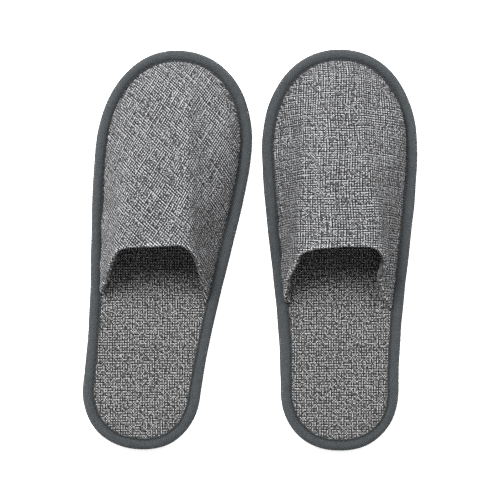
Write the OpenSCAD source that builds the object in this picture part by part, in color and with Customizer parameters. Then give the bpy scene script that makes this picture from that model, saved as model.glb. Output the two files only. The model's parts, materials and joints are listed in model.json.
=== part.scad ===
// Pair of closed-toe spa slippers.
// Each slipper is a layered sole (foam outsole, foam filler, woven insole cover)
// with a three-layer upper sewn on top, and one bias tape that wraps the whole
// edge and holds every layer together with a single row of stitches.
// Units are millimetres. X runs across the pair, +Y towards the toes, +Z up.
// The origin is on the floor, under the middle of the pair.

/* [Slipper outline] */
// Length of one slipper, heel to toe
slipper_l = 285; // [260:1:305]
// Width across the ball of the foot
ball_w = 110.6; // [104:0.2:118]
// Width across the heel
heel_w = 84; // [78:0.5:90]
// Length of the rounded toe end
toe_depth = 72; // [64:1:80]
// Length of the rounded heel end
heel_depth = 44; // [38:1:50]

/* [Sole layers] */
// Thickness of the foam outsole
outsole_t = 4.0; // [3.5:0.1:6]
// Depth of the tread grooves under the outsole
tread_depth = 0.8; // [0.4:0.1:1.2]
// Width of one tread groove
groove_w = 1.6; // [1:0.1:2.4]
// Distance between tread rows
groove_pitch = 7; // [6:0.5:12]
// Thickness of the foam filler between outsole and insole cover
filler_t = 2.0; // [1:0.1:4]
// Thickness of the woven insole cover
insole_t = 0.8; // [0.5:0.1:1.5]

/* [Edge tape] */
// Thickness of the bias tape
tape_t = 0.8; // [0.6:0.1:1.2]
// Width of the tape that shows on top
tape_top = 8.5; // [7:0.25:10]
// Width of the tape that shows underneath
tape_under = 8.0; // [7:0.25:10]
// How far the stitch row sits in from the tape's inner edge
stitch_in = 1.3; // [1:0.1:2]
// Length of one stitch
stitch_l = 3.2; // [2.2:0.1:4]
// Distance from one stitch to the next
stitch_pitch = 4.2; // [4.2:0.1:6]

/* [Upper] */
// Height of the upper at the middle of its opening, above the sewn edge
upper_h = 46; // [36:1:56]
// Distance from toe tip to the middle of the opening
throat_d = 140.5; // [130:0.5:152]
// Thickness of the woven outer fabric
outer_t = 0.6; // [0.5:0.05:1]
// Thickness of the foam padding in the upper
padding_t = 2.25; // [1.5:0.05:3]
// Thickness of the smooth lining
lining_t = 0.5; // [0.4:0.05:0.8]
// How much the side walls bulge over the tape near the opening, 1 is as sewn
wall_bulge = 1; // [0:0.1:1.2]

/* [Flex line] */
// Distance from toe tip to the line where the sole bends
flex_d = 192; // [190:1:200]
// Gap between the forepart and heel solids at the flex line
flex_gap = 0.5; // [0.3:0.1:1]

/* [Pair layout] */
// How far the left slipper is turned, toe inwards, in degrees
left_turn = 7.6; // [0:0.1:12]
// Sideways distance between the two slippers' middles
pair_pitch = 127.4; // [126:0.2:160]

/* [Hidden] */
toe_pow = 2.15;      // roundness of the toe end, 2 is an ellipse
heel_pow = 2.2;      // roundness of the heel end
eps = 0.02;          // air left between neighbouring layers
tape_gap = 0.05;     // air left between the tape and what it wraps
rim = 1.6;           // height at which the outsole's pad steps out to its rim
thread_r = 0.3;      // radius of the sewing thread
seam_in = tape_top + 0.35;              // sewn edge of the upper, in from the outline
z_fill = outsole_t + eps;
z_ins = z_fill + filler_t + eps;
z_flg = z_ins + insole_t + eps;         // underside of the lining's sewn margin
z_out = z_flg + lining_t + eps;         // underside of the outer's sewn margin
z_base = z_out + outer_t;               // where the upper leaves the sewn margin
drop = z_base - (z_ins + insole_t);     // how much lower the tape lies at the heel
tape_h = z_base + tape_gap + tape_t;    // top of the tape over the upper
tape_floor = rim - tape_gap - tape_t;   // underside of the tape
seg_toe = 14;                           // steps in a quarter of the toe end
seg_side = 12;                          // steps along a side
seg_heel = 12;                          // steps in a quarter of the heel end

NODES = [
  "left_outsole_forepart", "left_outsole_heel", "left_filler_forepart", "left_filler_heel",
  "left_insole_forepart", "left_insole_heel", "left_tape_forepart", "left_tape_heel",
  "left_stitching_forepart", "left_stitching_heel",
  "left_upper_outer", "left_upper_padding", "left_upper_lining", "left_throat_seam",
  "right_outsole_forepart", "right_outsole_heel", "right_filler_forepart", "right_filler_heel",
  "right_insole_forepart", "right_insole_heel", "right_tape_forepart", "right_tape_heel",
  "right_stitching_forepart", "right_stitching_heel",
  "right_upper_outer", "right_upper_padding", "right_upper_lining", "right_throat_seam"];
node = "all";

// ---------------------------------------------------------------- helpers
function mix(a, b, share) = a + (b - a) * share;
function ease(x) = let (c = max(0, min(1, x))) c * c * (3 - 2 * c);
function unit(v) = v / norm(v);
// Outward normal of an outline that runs from one point to the next, toe to heel on the right.
function outward(from, to) = let (dir = unit(to - from)) [dir[1], -dir[0]];

// Two triangles between edge a-b and edge c-d, split along a-d.
// Swapping b and c turns them to face the other way.
function quad(a, b, c, d) = [[a, b, d], [a, d, c]];
// Both faces of a curved sheet: a grid of points, then the same grid on the inner face.
function sheet_faces(n_rows, n_cols) =
  let (inner = n_rows * n_cols)
  [for (i = [0 : n_rows - 2]) for (j = [0 : n_cols - 2])
    let (a = i * n_cols + j, b = a + 1, c = a + n_cols, d = c + 1)
    each concat(quad(a, b, c, d), quad(inner + a, inner + c, inner + b, inner + d))];

// ---------------------------------------------------------------- outline
// Outline points are [across, along], with along measured from the toe tip.
side_taper_pow = 0.9;                   // shifts the narrowing from ball to heel
side_end = slipper_l - heel_depth;      // where the rounded heel end starts

// Half width of a rounded end, and a point on it at an angle from its tip.
function end_half_w(from_tip, width, depth, power) =
  width / 2 * pow(max(0, 1 - pow(1 - from_tip / depth, power)), 1 / power);
function end_pt(angle, width, depth, power) =
  [width / 2 * pow(sin(angle), 2 / power), depth * (1 - pow(cos(angle), 2 / power))];
function toe_pt(angle) = end_pt(angle, ball_w, toe_depth, toe_pow);
function half_w(along) =
  along < toe_depth ? end_half_w(along, ball_w, toe_depth, toe_pow)
  : along > side_end ? end_half_w(slipper_l - along, heel_w, heel_depth, heel_pow)
  : ball_w / 2 - (ball_w - heel_w) / 2
    * ease(pow((along - toe_depth) / (side_end - toe_depth), side_taper_pow));
function side_pt(along) = [half_w(along), along];

// Right half of the outline, toe tip to heel tip.
half_pts = concat(
  [for (i = [0 : seg_toe]) toe_pt(90 * i / seg_toe)],
  [for (i = [1 : seg_side]) side_pt(mix(toe_depth, side_end, i / seg_side))],
  [for (i = [1 : seg_heel])
    let (p = end_pt(90 - 90 * i / seg_heel, heel_w, heel_depth, heel_pow)) [p[0], slipper_l - p[1]]]);
n_half = len(half_pts);
loop = concat(half_pts, [for (i = [n_half - 2 : -1 : 1]) [-half_pts[i][0], half_pts[i][1]]]);
n_loop = len(loop);
normals = [for (i = [0 : n_loop - 1]) outward(loop[(i + n_loop - 1) % n_loop], loop[(i + 1) % n_loop])];

function to_xy(p) = [p[0], slipper_l / 2 - p[1]];
function inset_loop(inset) = [for (i = [0 : n_loop - 1]) to_xy(loop[i] - inset * normals[i])];

// ---------------------------------------------------------------- sole
flex_y = slipper_l / 2 - flex_d;
part_box = [200, 400];          // rectangle larger than either part of the sole
sheet_inset = tape_t + 0.1;     // filler and insole cover, in from the outline
pad_inset = tape_under + 0.15;  // outsole's floor pad, in from the outline
zigzag_step = 5;                // sideways distance between groove corners
zigzag_rise = 2.4;              // how far every second groove corner shifts to the toe
groove_margin = 8;              // least distance from groove end to the tape's inner edge
cut_below = 1;                  // how far a groove's cutter reaches below the floor
// First and last place for a tread row in each part, from the toe tip
fore_tread = [22, flex_d - 10];
heel_tread = [flex_d + 9, slipper_l - 20];

module part_area(part) {
  y = part == "forepart" ? flex_y + flex_gap / 2 : flex_y - flex_gap / 2 - part_box[1];
  translate([-part_box[0] / 2, y]) square(part_box);
}
module layer(inset, z0, z1, part)
  translate([0, 0, z0]) linear_extrude(z1 - z0)
    intersection() {
      polygon(inset_loop(inset));
      part_area(part);
    }

// One zigzag tread groove across the sole.
module groove(along) {
  n = max(1, floor((half_w(along) - tape_under - groove_margin) / zigzag_step));
  function corner(i, shift) =
    [i * zigzag_step, slipper_l / 2 - along + shift + (abs(i) % 2) * zigzag_rise];
  translate([0, 0, -cut_below]) linear_extrude(cut_below + tread_depth)
    polygon(concat([for (i = [-n : n]) corner(i, groove_w / 2)],
                   [for (i = [n : -1 : -n]) corner(i, -groove_w / 2)]));
}
module outsole(part) color([0.16, 0.17, 0.18]) difference() {
  tread = part == "forepart" ? fore_tread : heel_tread;
  union() {
    layer(tape_t + tape_gap, rim, outsole_t, part);
    layer(pad_inset, 0, outsole_t, part);
  }
  for (along = [tread[0] : groove_pitch : tread[1]]) groove(along);
}
module filler(part) color([0.86, 0.85, 0.80]) layer(sheet_inset, z_fill, z_fill + filler_t, part);
module insole(part) color([0.49, 0.49, 0.49]) layer(sheet_inset, z_ins, z_ins + insole_t, part);

// ---------------------------------------------------------------- edge tape
drop_lead = 6.5;    // the tape starts to step down this far before the flex line
drop_run = 13.2;    // length over which it steps down
flex_clear = 3;     // outline points nearer the flex line than this are skipped
probe = 0.5;        // half the length over which the side's direction is taken

// Height of the tape's top. It lies lower behind the upper, with fewer layers to wrap.
function tape_z(along) =
  tape_h - drop * max(0, min(1, (along - flex_d + drop_lead) / drop_run));

// Closed C-shaped section of the tape as [in from outline, height], for a given top height.
function tape_section(top) = [
  [tape_top, top - tape_t], [tape_t, top - tape_t],
  [tape_t, rim - tape_gap], [tape_under, rim - tape_gap],
  [tape_under, tape_floor], [1.8, tape_floor], [0.4, rim + 0.1], [0, rim + 1.3],
  [0, top - 1.9], [0.5, top - 0.55], [1.9, top], [tape_top, top]];
// Triangles that fill the section between its outer and inner lines.
section_fill = [
  [0, 1, 10], [0, 10, 11], [1, 9, 10], [1, 8, 9], [1, 2, 8],
  [2, 7, 8], [2, 6, 7], [2, 5, 6], [2, 3, 5], [3, 4, 5]];

// Stations of the sweep are [outline point, outward normal]; side is 1 right, -1 left.
function flex_station(along, side) =
  let (normal = outward(side_pt(along - probe), side_pt(along + probe)))
  [[side * half_w(along), along], [side * normal[0], normal[1]]];
function loop_station(i, side) = [for (v = [loop[i], normals[i]]) [side * v[0], v[1]]];
function before_flex(i) = half_pts[i][1] < flex_d - flex_clear;
function after_flex(i) = half_pts[i][1] > flex_d + flex_clear;
fore_stations = concat(
  [flex_station(flex_d - flex_gap / 2, 1)],
  [for (i = [n_half - 1 : -1 : 0]) if (before_flex(i)) loop_station(i, 1)],
  [for (i = [1 : n_half - 1]) if (before_flex(i)) loop_station(i, -1)],
  [flex_station(flex_d - flex_gap / 2, -1)]);
heel_stations = concat(
  [flex_station(flex_d + flex_gap / 2, -1)],
  [for (i = [0 : n_half - 1]) if (after_flex(i)) loop_station(i, -1)],
  [for (i = [n_half - 2 : -1 : 0]) if (after_flex(i)) loop_station(i, 1)],
  [flex_station(flex_d + flex_gap / 2, 1)]);

module sweep(stations) {
  n = len(stations);
  m = len(tape_section(0));
  points = [for (st = stations) for (c = tape_section(tape_z(st[0][1])))
    let (p = to_xy(st[0] - c[0] * st[1])) [p[0], p[1], c[1]]];
  sides = [for (i = [0 : n - 2]) for (k = [0 : m - 1])
    let (a = i * m + k, b = i * m + (k + 1) % m) each quad(a, b, a + m, b + m)];
  first_cap = [for (f = section_fill) [f[2], f[1], f[0]]];
  last_cap = [for (f = section_fill) [for (k = f) k + (n - 1) * m]];
  polyhedron(points, concat(sides, first_cap, last_cap), convexity = 8);
}
module tape(part) color([0.28, 0.31, 0.33])
  sweep(part == "forepart" ? fore_stations : heel_stations);

// ---------------------------------------------------------------- stitching
stitch_lift = 0.34;       // from the tape's face to the middle of a stitch
stitch_flex_clear = 0.6;  // least distance from a stitch's end to the flex line
seam_loop = [for (i = [0 : n_loop - 1]) loop[i] - (tape_top - stitch_in) * normals[i]];
// Run length of the seam up to each of its points, and back to the start.
seam_run = [
  for (i = 0, run = 0; i <= n_loop;
       run = run + norm(seam_loop[(i + 1) % n_loop] - seam_loop[i % n_loop]), i = i + 1) run];
seam_len = seam_run[n_loop];
n_stitch = floor(seam_len / stitch_pitch);
// Index of the seam segment that holds a run length.
function seam_seg(run, i = 0) = i >= n_loop - 1 || seam_run[i + 1] > run ? i : seam_seg(run, i + 1);

module stitch(p, angle, z)
  translate([p[0], p[1], z]) rotate([0, 90, angle])
    cylinder(h = stitch_l, r = thread_r, center = true, $fn = 24);
module stitching(part) color([0.12, 0.13, 0.14])
  for (k = [0 : n_stitch - 1]) {
    run = (k + 0.5) * seam_len / n_stitch;
    i = seam_seg(run);
    from = seam_loop[i];
    to = seam_loop[(i + 1) % n_loop];
    p = mix(from, to, (run - seam_run[i]) / (seam_run[i + 1] - seam_run[i]));
    angle = atan2(from[1] - to[1], to[0] - from[0]);
    near_flex = abs(p[1] - flex_d) < stitch_l / 2 + stitch_flex_clear;
    in_fore = p[1] < flex_d;
    if (!near_flex && in_fore == (part == "forepart")) {
      // Where the tape slopes, the stitch clears its higher, toeward end.
      stitch(to_xy(p), angle, tape_z(p[1] - stitch_l / 2) + stitch_lift);
      stitch(to_xy(p), angle, tape_floor - stitch_lift);
    }
  }

// ---------------------------------------------------------------- upper
// Each slipper's upper: [left side, right side, skew of the opening, depth of the fold
// that dents the right-hand wall]. A side is [where it ends, from the toe tip; how far
// the arch leans in; how square its shoulder is; how far the wall bulges out].
LEFT = [[178.5, 0.20, 5, 2.0], [176, 0.26, 4, 2.4], -0.17, 0];
RIGHT = [[180, 0.13, 3.8, 3.0], [184, 0.22, 6, 1.6], -0.05, 5];

q_toe = 0.16;          // share of the outline that the front row of the grid covers
edge_pow = 0.9;        // spacing of the rows along the sewn edge
middle_pow = 1.6;      // spacing of the rows along the middle line
rise_pow = 0.88;       // how the middle line rises, 1 is straight
arch_from = 0.4;       // t at which the rows have become full arches
bulge_gain = 1.4;      // scale of the wall's bulge
bulge_start = 0.25;    // share of the arch's height over which the bulge grows
bulge_pow = 1.5;       // how the bulge fades towards the top
dent_height = 0.42;    // middle of the fold, as a share of the arch's height
dent_spread = 0.17;    // half width of the fold, as a share of the arch's height
dent_from = 0.8;       // t at which the fold starts
q_probe = 0.004;       // half the share over which the edge's direction is taken
grid_probe = 0.01;     // the same in s and t, for the upper's face
s_max = 0.999;         // s beyond this counts as the sewn edge
margin_in = 1.2;       // outer edge of the sewn margin, in from the outline
padding_gap = 0.12;    // air between outer fabric and padding
lining_gap = 0.1;      // air between padding and lining
hem_gap = 0.05;        // how much deeper the turned hem is than the padding
padding_in = outer_t + padding_t;         // inner face of the padding
lining_out = padding_in + lining_gap;     // outer face of the lining
lining_in = lining_out + lining_t;        // inner face of the lining

// Right half of the outline as a smooth function: q = 0 at the toe tip,
// 0.5 where the toe end meets the side, 1 where the upper's side ends.
function edge_pt(q, end) =
  q < 0.5 ? toe_pt(180 * q) : side_pt(mix(toe_depth, end, (q - 0.5) / 0.5));
function edge_n(q, end) = q < 0.001 ? [0, -1]
  : outward(edge_pt(max(0, q - q_probe), end), edge_pt(min(1, q + q_probe), end));
function seam_pt(q, inset, end) = edge_pt(q, end) - inset * edge_n(q, end);
function row_q(t) = q_toe + (1 - q_toe) * pow(t, edge_pow);
function side_of(foot, s) = s < 0 ? foot[0] : foot[1];
function sign_of(s) = s < 0 ? -1 : 1;

// Grid of the upper: rows in t from toe to opening, and columns in s from the middle
// to one side. The last two rows are the turned hem.
rows = [0, 0.025, 0.07, 0.13, 0.21, 0.3, 0.41, 0.53, 0.65, 0.76, 0.86, 0.945, 0.965, 1];
cols = [0, 0.11, 0.22, 0.33, 0.43, 0.53, 0.63, 0.73, 0.83, 0.92, 0.978, 1];
n_row = len(rows) - 1;
n_col = len(cols) - 1;
last_col = 2 * n_col;
function grid_s(j) = sign_of(j - n_col) * cols[abs(j - n_col)];

// A point on the outer face of the upper. s runs -1 to 1 across, t runs 0 to 1 toe to opening.
function upper_pt(s, t, foot) =
  let (side = side_of(foot, s), end = side[0], lean = side[1], square_pow = side[2],
       bulge = side[3], k = abs(s),
       edge = seam_pt(row_q(t), seam_in, end),
       front_end = seam_pt(q_toe, seam_in, end),
       front = seam_pt(q_toe * k, seam_in, end),
       middle = mix(seam_in, throat_d, pow(t, middle_pow)),
       // Arch across the row, as shares of its height and half width
       arch_pow = mix(2, square_pow, t),
       sine = sin(90 * k), cosine = max(0, cos(90 * k)),
       radius = pow(pow(sine, arch_pow) + pow(cosine, arch_pow), 1 / arch_pow),
       up = cosine / radius,
       across = sine / radius * (1 - lean * t * up),
       // The front row follows the toe outline, then blends into arches
       blend = ease(t / arch_from),
       x_share = mix(front[0] / front_end[0], across, blend),
       along_share = mix((front[1] - seam_in) / (front_end[1] - seam_in), 1 - up, blend),
       out = bulge * wall_bulge * t * bulge_gain * ease(up / bulge_start) * pow(1 - up, bulge_pow),
       dent = s < 0 ? 0 : foot[3] * exp(-pow((up - dent_height) / dent_spread, 2))
         * ease((t - dent_from) / (1 - dent_from)),
       x = sign_of(s) * (edge[0] * x_share + out - dent),
       along = middle + (edge[1] - middle) * along_share + foot[2] * x * up * t)
  [x, slipper_l / 2 - along, z_base + upper_h * pow(t, rise_pow) * up];
function upper_n(s, t, foot) =
  let (s0 = max(-s_max, s - grid_probe), s1 = min(s_max, s + grid_probe),
       t0 = max(0, t - grid_probe), t1 = min(1, t + grid_probe))
  unit(cross(upper_pt(s1, t, foot) - upper_pt(s0, t, foot),
             upper_pt(s, t0, foot) - upper_pt(s, t1, foot)));
// A point inwards from the outer face by a depth.
function upper_off(s, t, foot, depth) = upper_pt(s, t, foot) - depth * upper_n(s, t, foot);
// A sewn-edge point, in by a distance from the outline, at height z.
function sewn_pt(s, t, foot, inset, z) =
  let (q = abs(s) > s_max ? row_q(t) : q_toe * abs(s),
       p = seam_pt(q, inset, side_of(foot, s)[0]))
  [sign_of(s) * p[0], slipper_l / 2 - p[1], z];

// One layer of the upper between two depths, with its sewn margin between heights z_top
// and z_bottom. The inner face lies at hem_depth over the hem rows.
module upper_layer(foot, outer, inner, z_top, z_bottom, hem_depth) {
  width = last_col + 1;
  // Sewn edge as [column, row], from the opening's left end round the toe to its right end.
  edge = concat([for (i = [n_row : -1 : 1]) [0, i]],
                [for (j = [0 : last_col]) [j, 0]],
                [for (i = [1 : n_row]) [last_col, i]]);
  n_edge = len(edge);
  n_face = width * (n_row + 1);
  ring_at = 2 * n_face;
  function face(depth, hem, z) = [for (i = [0 : n_row]) for (j = [0 : last_col])
    let (s = grid_s(j), t = rows[i], in = i >= n_row - 1 ? hem : depth)
    i == 0 || j == 0 || j == last_col ? sewn_pt(s, t, foot, seam_in + in, z)
                                      : upper_off(s, t, foot, in)];
  function ring(z) = [for (e = edge) sewn_pt(grid_s(e[0]), rows[e[1]], foot, margin_in, z)];
  function id(k) = edge[k][1] * width + edge[k][0];
  points = concat(face(outer, outer, z_top), face(inner, hem_depth, z_bottom),
                  ring(z_top), ring(z_bottom));
  mouth = [for (j = [0 : last_col - 1]) let (a = n_row * width + j)
    each quad(a, a + 1, n_face + a, n_face + a + 1)];
  margin = [for (k = [0 : n_edge - 2])
    let (a = id(k), b = id(k + 1), c = ring_at + k, d = c + 1, e = c + n_edge, f = d + n_edge)
    each concat(quad(a, c, b, d), quad(n_face + a, n_face + b, e, f), quad(c, e, d, f))];
  a = id(0);
  b = id(n_edge - 1);
  c = ring_at;
  d = c + n_edge - 1;
  ends = concat(quad(a, n_face + a, c, c + n_edge), quad(b, d, n_face + b, d + n_edge));
  polyhedron(points, concat(sheet_faces(n_row + 1, width), mouth, margin, ends), convexity = 10);
}
module upper_outer(foot) color([0.53, 0.53, 0.53])
  upper_layer(foot, 0, outer_t, z_base, z_out, padding_in + hem_gap);
// The foam is cut back from the seam, so it is a curved sheet between two depths,
// over the grid's inner rows and columns only.
module upper_padding(foot) color([0.90, 0.89, 0.84]) {
  trim = 2;   // rows and columns left free at each edge
  nc = last_col - 2 * trim + 1;
  nr = n_row - 2 * trim + 1;
  n_face = nc * nr;
  points = [for (depth = [outer_t + padding_gap, padding_in])
    for (i = [trim : n_row - trim]) for (j = [trim : last_col - trim])
      upper_off(grid_s(j), rows[i], foot, depth)];
  border = concat([for (j = [0 : nc - 1]) j],
                  [for (i = [1 : nr - 1]) i * nc + nc - 1],
                  [for (j = [nc - 2 : -1 : 0]) (nr - 1) * nc + j],
                  [for (i = [nr - 2 : -1 : 1]) i * nc]);
  wall = [for (k = [0 : len(border) - 1])
    let (a = border[k], b = border[(k + 1) % len(border)]) each quad(a, n_face + a, b, n_face + b)];
  polyhedron(points, concat(sheet_faces(nr, nc), wall), convexity = 10);
}
module upper_lining(foot) color([0.24, 0.27, 0.27])
  upper_layer(foot, lining_out, lining_in, z_out - eps, z_flg, lining_in);
// Cord of thread that closes the turned edge, hidden between outer fabric and lining.
module throat_seam(foot) color([0.12, 0.13, 0.14]) {
  m = 6;          // corners round the cord
  t = 0.9525;     // the cord's place, between padding and hem
  depth = outer_t + padding_t * 0.7;
  n = last_col - 1;
  points = [for (j = [1 : n])
    let (s = grid_s(j), middle = upper_off(s, t, foot, depth), normal = upper_n(s, t, foot),
         dir = unit(upper_pt(s, t + 0.01, foot) - upper_pt(s, t - 0.01, foot)))
    for (k = [0 : m - 1])
      middle + thread_r * (cos(360 * k / m) * normal + sin(360 * k / m) * dir)];
  tube = [for (i = [0 : n - 2]) for (k = [0 : m - 1])
    let (a = i * m + k, b = i * m + (k + 1) % m) each quad(a, a + m, b, b + m)];
  first_cap = [for (k = [0 : m - 1]) k];
  last_cap = [for (k = [m - 1 : -1 : 0]) (n - 1) * m + k];
  polyhedron(points, concat(tube, [first_cap, last_cap]), convexity = 10);
}

// ---------------------------------------------------------------- pair
// Footprint of the turned left slipper, to centre the pair on the origin.
left_print = [for (p = inset_loop(0))
  [p[0] * cos(left_turn) + p[1] * sin(left_turn), -p[0] * sin(left_turn) + p[1] * cos(left_turn)]];
min_x = min([for (p = left_print) p[0]]);
min_y = min([for (p = left_print) p[1]]);
max_y = max([for (p = left_print) p[1]]);
left_x = -(ball_w / 2 + pair_pitch + min_x) / 2;
mid_y = (max(max_y, slipper_l / 2) + min(min_y, -slipper_l / 2)) / 2;
module place(which) {
  if (which == "left") translate([left_x, -mid_y, 0]) rotate([0, 0, -left_turn]) children();
  else translate([left_x + pair_pitch, -mid_y, 0]) children();
}

function on(which, name) = node == "all" || node == str(which, "_", name);

for (which = ["left", "right"]) {
  foot = which == "left" ? LEFT : RIGHT;
  if (on(which, "outsole_forepart")) place(which) outsole("forepart");
  if (on(which, "outsole_heel")) place(which) outsole("heel");
  if (on(which, "filler_forepart")) place(which) filler("forepart");
  if (on(which, "filler_heel")) place(which) filler("heel");
  if (on(which, "insole_forepart")) place(which) insole("forepart");
  if (on(which, "insole_heel")) place(which) insole("heel");
  if (on(which, "tape_forepart")) place(which) tape("forepart");
  if (on(which, "tape_heel")) place(which) tape("heel");
  if (on(which, "stitching_forepart")) place(which) stitching("forepart");
  if (on(which, "stitching_heel")) place(which) stitching("heel");
  if (on(which, "upper_outer")) place(which) upper_outer(foot);
  if (on(which, "upper_padding")) place(which) upper_padding(foot);
  if (on(which, "upper_lining")) place(which) upper_lining(foot);
  if (on(which, "throat_seam")) place(which) throat_seam(foot);
}
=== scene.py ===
"""A pair of padded linen slippers lying side by side, seen straight from above.

The row frame is in metres, x to the right, y roughly towards the toes, z up. Each slipper is shaped
in its own frame in millimetres: x across, y towards the toe, z up, with y = 0 at half its length.
"Depth" is the distance from the toe tip towards the heel. "Inset" is measured in from the sole's edge.
"""
import json
import math

import bmesh
import bpy
import numpy as np
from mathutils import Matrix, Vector


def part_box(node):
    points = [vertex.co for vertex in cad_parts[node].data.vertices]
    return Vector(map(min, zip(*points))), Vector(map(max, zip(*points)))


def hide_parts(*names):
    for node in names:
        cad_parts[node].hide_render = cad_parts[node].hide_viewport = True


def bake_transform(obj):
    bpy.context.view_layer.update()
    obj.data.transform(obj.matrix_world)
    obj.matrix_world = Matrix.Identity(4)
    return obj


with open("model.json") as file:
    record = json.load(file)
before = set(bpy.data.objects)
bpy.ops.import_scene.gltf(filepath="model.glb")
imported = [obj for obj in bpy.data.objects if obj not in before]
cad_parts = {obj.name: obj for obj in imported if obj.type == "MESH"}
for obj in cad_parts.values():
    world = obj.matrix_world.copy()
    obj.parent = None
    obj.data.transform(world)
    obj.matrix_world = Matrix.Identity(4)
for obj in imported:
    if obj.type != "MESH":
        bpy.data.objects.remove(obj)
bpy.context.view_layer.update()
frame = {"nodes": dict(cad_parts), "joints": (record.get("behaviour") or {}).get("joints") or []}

MM = 0.001
np.random.seed(11)

# ---------------------------------------------------------------- sizes, mm
JOINTS = {joint["name"]: joint for joint in frame["joints"]}


def box_mm(name):
    """Low and high corner of a CAD piece."""
    low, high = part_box(name)
    return np.array(low) / MM, np.array(high) / MM


TAPE_LOW, TAPE_HIGH = box_mm("right_tape_forepart")
HEEL_END = box_mm("right_tape_heel")[0][1]
INSOLE_LOW_Z, INSOLE_HIGH_Z = (corner[2] for corner in box_mm("right_insole_forepart"))
UPPER_HIGH_Z = box_mm("right_upper_outer")[1][2]
LINING_LOW_Z = box_mm("right_upper_lining")[0][2]

LENGTH = TAPE_HIGH[1] - HEEL_END
BALL_WIDTH = TAPE_HIGH[0] - TAPE_LOW[0]
HEEL_WIDTH = 84.0
TOE_DEPTH = 72.0                             # length of the rounded toe
HEEL_DEPTH = 44.0                            # length of the rounded heel
TOE_POWER, HEEL_POWER = 2.15, 2.2            # roundness of the two ends; 2 is an ellipse

TAPE_TOP_Z = TAPE_HIGH[2]                    # top of the edge tape over the upper
TAPE_WIDTH = 8.5
TAPE_THICK = 0.8
TAPE_COLUMNS = 540
SEAM_INSET = TAPE_WIDTH + 0.1
STITCH_INSET = 7.18
UNDERSIDE_Z = 0.75                           # underside of the tape

BASE_Z = TAPE_TOP_Z - TAPE_THICK - 0.05      # where the upper leaves its sewn margin
TAPE_DROP = BASE_Z - INSOLE_HIGH_Z           # the tape lies this much lower behind the upper
UPPER_RISE = UPPER_HIGH_Z - BASE_Z
THROAT_DEPTH = 140.5                         # depth of the opening edge on the middle line
TOE_SHARE = 0.16                             # share of the half edge that belongs to the toe row
MARGIN_INSETS = (5.0, 1.3)                   # rows of the sewn margin
CLOTH_THICK, PADDING_THICK, LINING_THICK = 0.6, 2.25, 0.5

FLEX_Y = JOINTS["right_sole_flex"]["pos_m"][1] / MM - (TAPE_HIGH[1] + HEEL_END) / 2
FLEX_DEPTH = LENGTH / 2 - FLEX_Y

# walls: left then right, each (depth where the side ends, lean of the arch, squareness of its
# shoulder, bulge mm); skew of the arch along the slipper; depth of the dent in the right wall, mm
SIDES = {
    "left": dict(walls=((178.5, 0.20, 5.0, 2.0), (176.0, 0.26, 4.0, 2.4)), skew=-0.17, dent=0.0),
    "right": dict(walls=((180.0, 0.13, 3.8, 3.0), (184.0, 0.22, 6.0, 1.6)), skew=-0.05, dent=5.0),
}


class Place:
    """Takes a slipper's own frame (mm) to the row frame."""

    def __init__(self, which):
        joint = JOINTS[which + "_sole_flex"]
        self.angle = math.atan2(joint["axis"][1], -joint["axis"][0])
        self.cos, self.sin = math.cos(self.angle), math.sin(self.angle)
        self.pivot = np.array(joint["pos_m"])
        self.origin = [self.pivot[0] / MM - FLEX_Y * self.sin, self.pivot[1] / MM - FLEX_Y * self.cos]
        self.toe = np.array([self.sin, self.cos, 0.0])

    def plan(self, x, y):
        """Position in the row frame, still in mm."""
        return (self.origin[0] + x * self.cos + y * self.sin,
                self.origin[1] - x * self.sin + y * self.cos)

    def __call__(self, points):
        x, y = self.plan(points[..., 0], points[..., 1])
        return np.stack([x, y, points[..., 2]], -1) * MM


# ---------------------------------------------------------------- shape functions
def ease(share):
    share = np.clip(share, 0, 1)
    return share * share * (3 - 2 * share)


def bell(x, centre, width):
    return np.exp(-((x - centre) / width) ** 2)


def length_of(vectors, keepdims=False):
    return np.linalg.norm(vectors, axis=-1, keepdims=keepdims)


def unit(vectors):
    return vectors / length_of(vectors, True)


def running_length(points):
    """Distance along a line of points, from 0 at the first."""
    return np.concatenate([[0], np.cumsum(length_of(np.diff(points, axis=0)))])


def half_width(depth):
    """Half the width of the sole at a depth."""
    depth = np.asarray(depth, float)

    def rounded(width, share, power):
        return width / 2 * np.clip(1 - np.clip(1 - share, 0, 1) ** power, 0, None) ** (1 / power)

    toe = rounded(BALL_WIDTH, depth / TOE_DEPTH, TOE_POWER)
    heel = rounded(HEEL_WIDTH, (LENGTH - depth) / HEEL_DEPTH, HEEL_POWER)
    waist = np.clip((depth - TOE_DEPTH) / (LENGTH - HEEL_DEPTH - TOE_DEPTH), 0, 1) ** 0.9
    middle = BALL_WIDTH / 2 - (BALL_WIDTH - HEEL_WIDTH) / 2 * ease(waist)
    return np.where(depth < TOE_DEPTH, toe, np.where(depth > LENGTH - HEEL_DEPTH, heel, middle))


def edge_point(share, side_end):
    """(x, depth) on the right edge: share 0 at the toe tip, 0.5 where the toe ends, 1 at side_end."""
    share = np.asarray(share, float)
    angle = np.pi * np.minimum(share, 0.5)
    side_depth = TOE_DEPTH + (side_end - TOE_DEPTH) * (share - 0.5) / 0.5
    toe_x = BALL_WIDTH / 2 * np.clip(np.sin(angle), 0, None) ** (2 / TOE_POWER)
    toe_depth = TOE_DEPTH * (1 - np.clip(np.cos(angle), 0, None) ** (2 / TOE_POWER))
    return (np.where(share < 0.5, toe_x, half_width(side_depth)),
            np.where(share < 0.5, toe_depth, side_depth))


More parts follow.
